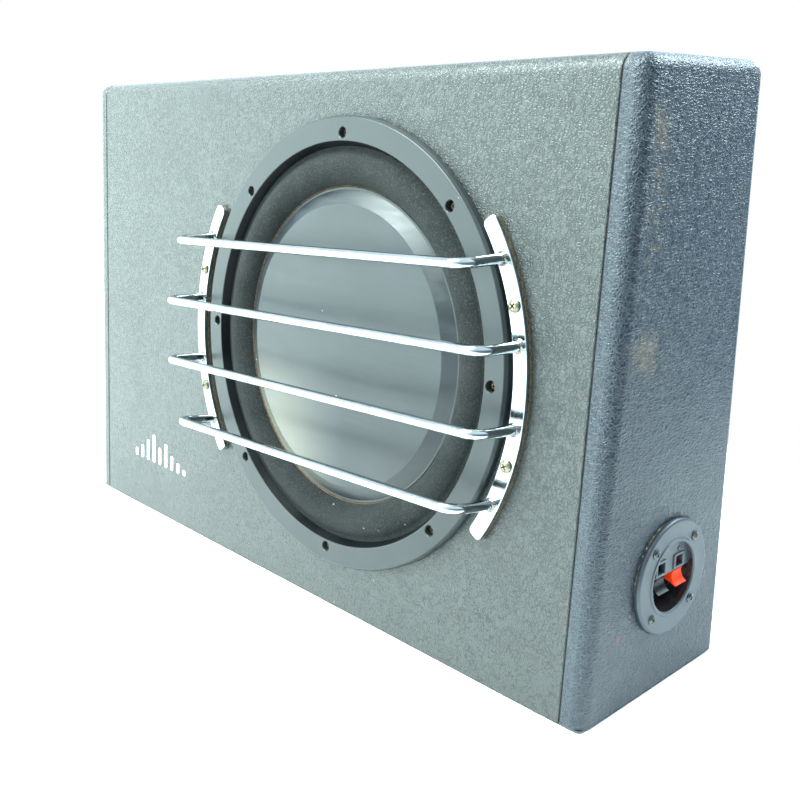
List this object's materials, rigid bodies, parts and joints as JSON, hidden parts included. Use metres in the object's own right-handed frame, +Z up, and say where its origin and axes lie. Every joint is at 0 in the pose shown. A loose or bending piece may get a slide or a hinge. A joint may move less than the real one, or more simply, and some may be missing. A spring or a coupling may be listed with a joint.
{
  "type": "car subwoofer",
  "caption": "Slim wedge-shaped sealed car subwoofer in grained vinyl with a shallow driver behind a chrome bar guard and a push terminal in one end.",
  "frame": {"origin": "centre of the underside, on the floor", "axes": "+X to the right along the front, +Y from the sloping front to the upright back, +Z up"},
  "size_m": [0.6022, 0.1837, 0.386],
  "materials": {
    "vinyl": "embossed grain, satin",
    "fibreboard": "raw",
    "batten_pine": "sawn",
    "floor_plastic": "satin",
    "mark_print": "screen print",
    "ring_plastic": "satin moulded",
    "roll_foam": "fine foam skin",
    "cone_plastic": "satin",
    "paper_cone": "pressed fibre",
    "basket_paint": "black powder coat",
    "sealing_foam": "open foam",
    "pad_foam": "aged foam",
    "plated_steel": "bright chrome",
    "zinc_screw": "yellowed zinc",
    "dark_screw": "black oxide, rusting",
    "motor_steel": "zinc plated",
    "ferrite": "ground ferrite",
    "former_foil": "foil",
    "copper_winding": "enamelled copper",
    "spider_cloth": "resin-treated cotton",
    "tag_board": "phenolic",
    "tag_brass": "tinned brass",
    "lead_braid": "tinned braid",
    "cup_plastic": "satin flange, glossy hollow",
    "lever_black_plastic": "satin moulded",
    "lever_red_plastic": "glossy moulded",
    "grey_screw": "nickel plated",
    "spring_steel": "spring wire",
    "wire_red": "PVC",
    "wire_black": "PVC"
  },
  "bodies": {
    "cabinet": {"front_baffle": "fibreboard", "back_board": "fibreboard", "top_board": "fibreboard", "bottom_board": "fibreboard", "left_end_board": "fibreboard", "right_end_board": "fibreboard", "corner_battens": "batten_pine", "body_vinyl": "vinyl", "left_end_vinyl": "vinyl", "right_end_vinyl": "vinyl", "bottom_sheet": "floor_plastic", "front_mark": "mark_print", "driver_basket": "basket_paint", "driver_gasket": "sealing_foam", "trim_ring": "ring_plastic", "driver_screws": "dark_screw", "top_plate": "motor_steel", "magnet": "ferrite", "pole_yoke": "motor_steel", "driver_tag_board": "tag_board", "driver_tags": "tag_brass", "tinsel_leads": "lead_braid", "surround": "roll_foam", "spider": "spider_cloth", "guard_pad_left": "pad_foam", "guard_pad_right": "pad_foam", "guard_strip_left": "plated_steel", "guard_strip_right": "plated_steel", "guard_bar_1": "plated_steel", "guard_bar_2": "plated_steel", "guard_bar_3": "plated_steel", "guard_bar_4": "plated_steel", "guard_screws": "zinc_screw", "terminal_cup": "cup_plastic", "cup_pad": "sealing_foam", "cup_screws": "grey_screw", "lever_pin": "spring_steel", "contact_tag_black": "tag_brass", "contact_tag_red": "tag_brass", "lever_spring_black": "spring_steel", "lever_spring_red": "spring_steel", "hookup_wire_red": "wire_red", "hookup_wire_black": "wire_black"},
    "cone_assembly": {"cone": "paper_cone", "cone_cap": "cone_plastic", "coil_former": "former_foil", "voice_coil": "copper_winding"},
    "lever_black": {"lever_black": "lever_black_plastic"},
    "lever_red": {"lever_red": "lever_red_plastic"}
  },
  "joints": [
    {"name": "cone_travel", "type": "slide", "parent": "cabinet", "child": "cone_assembly", "axis": [0, -0.997, 0.0775], "range_m": [-0.007, 0.007], "stiffness_N_per_m": 2500, "deforming": ["surround", "spider", "tinsel_leads"]},
    {"name": "lever_black_press", "type": "hinge", "parent": "cabinet", "child": "lever_black", "pos_m": [0.2925, 0.0097, 0.0815], "axis": [0, 1, 0], "range_deg": [0, 15], "stiffness_Nm_per_rad": 0.03, "deforming": ["lever_spring_black"]},
    {"name": "lever_red_press", "type": "hinge", "parent": "cabinet", "child": "lever_red", "pos_m": [0.2925, 0.0097, 0.0815], "axis": [0, 1, 0], "range_deg": [0, 15], "stiffness_Nm_per_rad": 0.03, "deforming": ["lever_spring_red"]}
  ]
}
